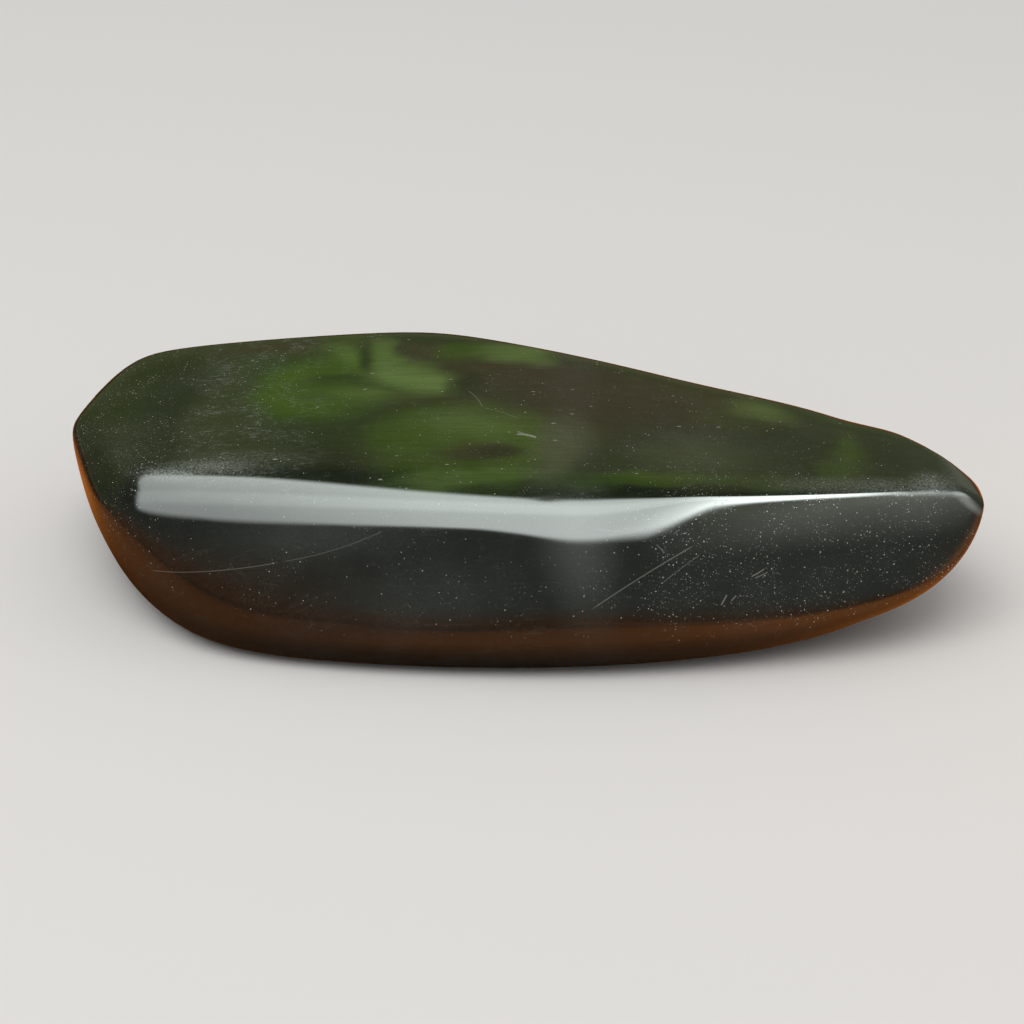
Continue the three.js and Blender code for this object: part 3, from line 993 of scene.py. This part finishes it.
# A soft patch of the surround that the polish mirrors, in degrees: how far right of straight behind it is,
# how high, its half sizes, its turn, its edge's softness, its colour and its strength.
Patch = namedtuple("Patch", "centre half turn softness colour strength")
SURROUND = (0.097, 0.125, 0.044)
SURROUND_MOTTLE = (0.14, 0.15, 0.068)
MOTTLE_SCALE = 5.0
MOTTLE_LEVELS = Fade(0.35, 0.65)
PATCHES = (
    Patch((5, 22), (6, 4), 0, 0.6, (0.16, 0.135, 0.085), 0.8),
    Patch((-6.6, 21.6), (2.6, 2.6), 0, 0.5, (0.13, 0.25, 0.05), 0.5),
    Patch((27, 9), (7, 9), 0, 0.6, (0.30, 0.31, 0.22), 0.7),
)

# A glow of the surround: its colour, and how it fades in along some measures of the direction. The measures
# are the direction's own x and y, and in degrees how high it is, how far over the stone from the front and
# how far sideways from straight up.
Glow = namedtuple("Glow", "colour fades")
IN_FRONT = Fade(0.1, -0.3)
BEHIND_GLOWS = (Glow((0.05, 0.06, 0.045), {"high": Fade(34.0, 47.0)}),)
FRONT_SURROUND = (0.17, 0.185, 0.16)
FRONT_GLOWS = (
    Glow((0.11, 0.125, 0.105), {"high": Fade(12.0, 38.0)}),
    Glow((0.25, 0.08, 0.014), {"high": Fade(13.0, 0.0)}),
    Glow((0.27, 0.09, 0.018), {"x": Fade(-0.15, -0.65), "high": Fade(44.0, 4.0)}),
    Glow((1.15, 1.2, 1.05), {"high": Fade(30.0, 52.0), "sideways": Fade(12.0, 34.0)}),
)
RIGHT_GLOWS = (
    Glow((1.15, 0.42, 0.12), {"x": Fade(0.62, 0.8), "high": Fade(38.0, 8.0), "y": Fade(0.1, -0.25)}),
)

# The sky overhead, in degrees. Fades along the sideways measure add up to the place of its front edge, of its
# back edge and to its brightness, which then some factors change.
SKY_COLOUR = (0.92, 1.0, 0.97)
SKY_FRONT_EDGE = (
    Fade(-40.0, -12.0, 44.0, 53.5),
    Fade(-48.0, -36.0, 0.0, 3.8),
    Fade(-28.0, -14.0, 0.0, -1.8),
    Fade(-8.0, 4.0, 0.0, -7.0),
    Fade(3.0, 14.0, 0.0, -2.0),
    Fade(12.0, 26.0, 0.0, 16.0),
    Fade(27.0, 46.0, 0.0, -15.0),
)
SKY_FRONT_SOFTNESS = Fade(-6.0, 12.0, 2.0, 4.5)
SKY_BACK_EDGE = (Fade(-24.0, 3.0, 126.0, 104.0), Fade(-37.0, -24.0, -16.0, 0.0), Fade(10.0, 22.0, 0.0, 5.0))
SKY_BACK_SOFTNESS = Fade(4.0, -5.0)
SKY_LEFT_SLANT = -0.25
SKY_LEFT_EDGE = Fade(-0.61, -0.56)
SKY_BRIGHTNESS = (Fade(-36.0, 0.0, 0.58, 1.14), Fade(2.0, 19.0, 0.0, 0.85))
SKY_FACTORS = (Fade(13.0, 20.0, 1.0, 1.42), Fade(21.0, 27.0, 1.0, 0.78), Fade(36.0, 50.0, 1.0, 0.6))
SKY_STREAK = (Fade(72.0, 84.0), Fade(102.0, 88.0))
SKY_STREAK_TONE = Fade(0.0, 1.0, 0.93, 1.14)


def plane(name, half, height, material):
    """A level square centred over the origin."""
    mesh = bpy.data.meshes.new(name)
    corners = [(-half, -half, height), (half, -half, height), (half, half, height), (-half, half, height)]
    mesh.from_pydata(corners, [], [(0, 1, 2, 3)])
    mesh.materials.append(material)
    square = bpy.data.objects.new(name, mesh)
    bpy.context.scene.collection.objects.link(square)
    return square


def floor_material(stage):
    """Plain pale matt floor."""
    material = bpy.data.materials.new("pale floor")
    material.use_nodes = True
    skin = material.node_tree.nodes["Principled BSDF"]
    skin.inputs["Base Color"].default_value = opaque(stage.floor)
    skin.inputs["Roughness"].default_value = FLOOR_ROUGHNESS
    skin.inputs["Specular IOR Level"].default_value = FLOOR_SHINE
    return material


def table_material():
    """Warm glow that the stone's lower sides mirror, brightest to the right and dark under the stone, where
    the stone's shadow is painted into it.
    """
    material, wiring = bare_material("warm table")
    place = wiring.node("ShaderNodeTexCoord").outputs["Object"]
    x, y, _ = wiring.parts(place)
    outwards = wiring.distance(wiring.vector("MULTIPLY", place, TABLE_SQUASH), (0, 0, 0))
    # The first outward fade is a painted shadow of the stone on the table.
    glow = wiring.product(
        *(wiring.rise(outwards, *fade) for fade in TABLE_SHADOW_AND_FALLOFF),
        *(wiring.rise(x, *fade) for fade in TABLE_ALONG_X),
        wiring.rise(y, *TABLE_ALONG_Y),
    )
    wires = {"Color": opaque(TABLE_COLOUR), "Strength": glow}
    shine = wiring.node("ShaderNodeEmission", wires).outputs["Emission"]
    wiring.node("ShaderNodeOutputMaterial", {"Surface": shine})
    return material


def only_mirrored(piece):
    """Shows a stage piece in reflections alone."""
    for ray in ("camera", "diffuse", "transmission", "volume_scatter", "shadow"):
        setattr(piece, f"visible_{ray}", False)


def glowing(wiring, surround, glows, measures):
    """The surround's colour with some glows laid over it."""
    for glow in glows:
        amount = wiring.product(*(wiring.rise(measures[name], *fade) for name, fade in glow.fades.items()))
        surround = wiring.tint(amount, surround, opaque(glow.colour))
    return surround


def sky_mask(wiring, measures):
    """Where the bright sky stands overhead."""
    sideways = measures["sideways"]
    softness = wiring.rise(sideways, *SKY_FRONT_SOFTNESS)
    softening = wiring.product(softness, -1.0)
    past_front = wiring.math("SUBTRACT", measures["high"], wiring.summed(sideways, SKY_FRONT_EDGE))
    past_back = wiring.math("SUBTRACT", measures["over"], wiring.summed(sideways, SKY_BACK_EDGE))
    past_left = wiring.math("MULTIPLY_ADD", measures["y"], SKY_LEFT_SLANT, measures["x"])
    return wiring.product(
        wiring.rise(past_front, softening, softness),
        wiring.rise(past_back, *SKY_BACK_SOFTNESS),
        wiring.rise(past_left, *SKY_LEFT_EDGE),
    )


def sky_colour(wiring, measures, strength):
    """The sky's colour, brighter towards the right and in a streak overhead."""
    sideways = measures["sideways"]
    factors = [wiring.rise(sideways, *fade) for fade in SKY_FACTORS]
    streak = wiring.product(*(wiring.rise(measures["over"], *fade) for fade in SKY_STREAK))
    streak = wiring.rise(streak, *SKY_STREAK_TONE)
    brightness = wiring.product(wiring.summed(sideways, SKY_BRIGHTNESS), *factors, streak, strength)
    return wiring.scaled(SKY_COLOUR, brightness)


def surround_world(stage):
    """Even pale surround, and for the polish alone a green and brown one with a bright sky overhead."""
    world = bpy.data.worlds.new("studio")
    world.use_nodes = True
    world.node_tree.nodes.clear()
    wiring = Wiring(world.node_tree)
    direction = wiring.node("ShaderNodeTexCoord").outputs["Generated"]
    x, y, z = wiring.parts(direction)

    def degrees(operation, *values):
        return wiring.product(wiring.math(operation, *values), math.degrees(1))

    high = degrees("ARCSINE", z)
    over = degrees("ARCTAN2", z, wiring.product(y, -1.0))
    measures = {"x": x, "y": y, "high": high, "over": over, "sideways": degrees("ARCTAN2", x, z)}

    mottle = wiring.rise(wiring.noise(direction, MOTTLE_SCALE), *MOTTLE_LEVELS)
    behind = wiring.tint(mottle, opaque(SURROUND), opaque(SURROUND_MOTTLE))
    view = wiring.joined(degrees("ARCTAN2", x, y), high, 0.0)
    for patch in PATCHES:
        behind = wiring.tint(oval_mask(wiring, view, patch), behind, opaque(patch.colour))
    behind = glowing(wiring, behind, BEHIND_GLOWS, measures)
    front = glowing(wiring, opaque(FRONT_SURROUND), FRONT_GLOWS, measures)
    surround = wiring.tint(wiring.rise(y, *IN_FRONT), behind, front)
    surround = glowing(wiring, surround, RIGHT_GLOWS, measures)
    sky = sky_colour(wiring, measures, stage.sky)
    mirrored = wiring.tint(sky_mask(wiring, measures), surround, sky)

    glossy = wiring.node("ShaderNodeLightPath").outputs["Is Glossy Ray"]
    shades = [
        wiring.node("ShaderNodeBackground", {"Color": shade}).outputs["Background"]
        for shade in (opaque(PLAIN_SURROUND), mirrored)
    ]
    shine = wiring.node("ShaderNodeMixShader", dict(enumerate((glossy, *shades)))).outputs["Shader"]
    wiring.node("ShaderNodeOutputWorld", {"Surface": shine})
    return world


def add_camera(stage):
    """Camera that looks down at the stone from the front."""
    data = bpy.data.cameras.new("camera")
    data.sensor_width = SENSOR
    data.lens = SENSOR / 2 / math.tan(stage.camera_view / 2)
    data.clip_start = CLIP_START
    camera = bpy.data.objects.new("camera", data)
    elevation = stage.camera_elevation
    back = Vector((0, -math.cos(elevation), math.sin(elevation)))
    camera.location = AIM + back * stage.camera_distance
    camera.rotation_mode = "QUATERNION"
    camera.rotation_quaternion = (-back).to_track_quat("-Z", "Y")
    bpy.context.scene.collection.objects.link(camera)
    bpy.context.scene.camera = camera


def add_light(stage):
    """One wide soft light, high over the front left, which the polish doesn't mirror."""
    data = bpy.data.lights.new("soft light", "AREA")
    data.size = LIGHT_SIDE
    data.energy = stage.light_power
    light = bpy.data.objects.new("soft light", data)
    light.location = LIGHT_PLACE
    light.rotation_mode = "QUATERNION"
    light.rotation_quaternion = (AIM - LIGHT_PLACE).to_track_quat("-Z", "Y")
    light.visible_camera = False
    light.visible_glossy = False
    bpy.context.scene.collection.objects.link(light)


# ------------ Operators and panel ------------


class JET_OT_stage(bpy.types.Operator):
    """Set up the camera, the pale floor and the soft light"""

    bl_idname = "jet.stage"
    bl_label = "Set up the stage"

    def execute(self, context):
        stage = context.scene.jet_stage
        add_camera(stage)
        plane("floor", FLOOR_HALF, 0.0, floor_material(stage))
        only_mirrored(plane("warm_table", FLOOR_HALF, TABLE_GAP, table_material()))
        add_light(stage)
        context.scene.world = surround_world(stage)
        context.scene.view_settings.view_transform = "Standard"
        return {"FINISHED"}


class JET_OT_stone(bpy.types.Operator):
    """Grow the stone from its cuts and polish it"""

    bl_idname = "jet.stone"
    bl_label = "Grow the stone"

    def execute(self, context):
        shape = context.scene.jet_shape
        low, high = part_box("stone")
        sizes = high - low
        settings = {
            "Heart": mm(*HEART),
            "Box": sizes,
            **{name: round(size / shape.panel) + 1 for name, size in zip(POINT_COUNTS, sizes)},
            "Furthest": FURTHEST * MM,
            "Halvings": shape.halvings,
            **{name: getattr(shape, name.lower().replace(" ", "_")) for name in SURFACE_INPUTS},
            "Low corner": low,
            "High corner": high,
            "Material": jet_material(context.scene.jet_finish),
        }
        stone = grow("polished_stone", stone_tree(), settings)
        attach(stone, "root")
        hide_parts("stone")
        return {"FINISHED"}


class JET_PT_panel(bpy.types.Panel):
    """Settings and steps of the polished jet freeform"""

    bl_idname = "JET_PT_panel"
    bl_label = "Polished jet freeform"
    bl_space_type = "VIEW_3D"
    bl_region_type = "UI"
    bl_category = "Jet"

    def draw(self, context):
        scene = context.scene
        steps = ((scene.jet_stage, JET_OT_stage), (scene.jet_shape, JET_OT_stone), (scene.jet_finish, None))
        for settings, operator in steps:
            box = self.layout.box()
            for name in settings.bl_rna.properties.keys():
                if name not in {"rna_type", "name"}:
                    box.prop(settings, name)
            if operator:
                box.operator(operator.bl_idname)


CLASSES = (
    JetShapeSettings,
    JetFinishSettings,
    JetStageSettings,
    JET_OT_stage,
    JET_OT_stone,
    JET_PT_panel,
)
SETTINGS = {
    "jet_shape": JetShapeSettings,
    "jet_finish": JetFinishSettings,
    "jet_stage": JetStageSettings,
}


def register():
    for each in CLASSES:
        bpy.utils.register_class(each)
    for name, group in SETTINGS.items():
        setattr(bpy.types.Scene, name, bpy.props.PointerProperty(type=group))


def unregister():
    for name in SETTINGS:
        delattr(bpy.types.Scene, name)
    for each in reversed(CLASSES):
        bpy.utils.unregister_class(each)


def main():
    register()
    bpy.ops.jet.stage()
    bpy.ops.jet.stone()


if __name__ == "__main__":
    main()
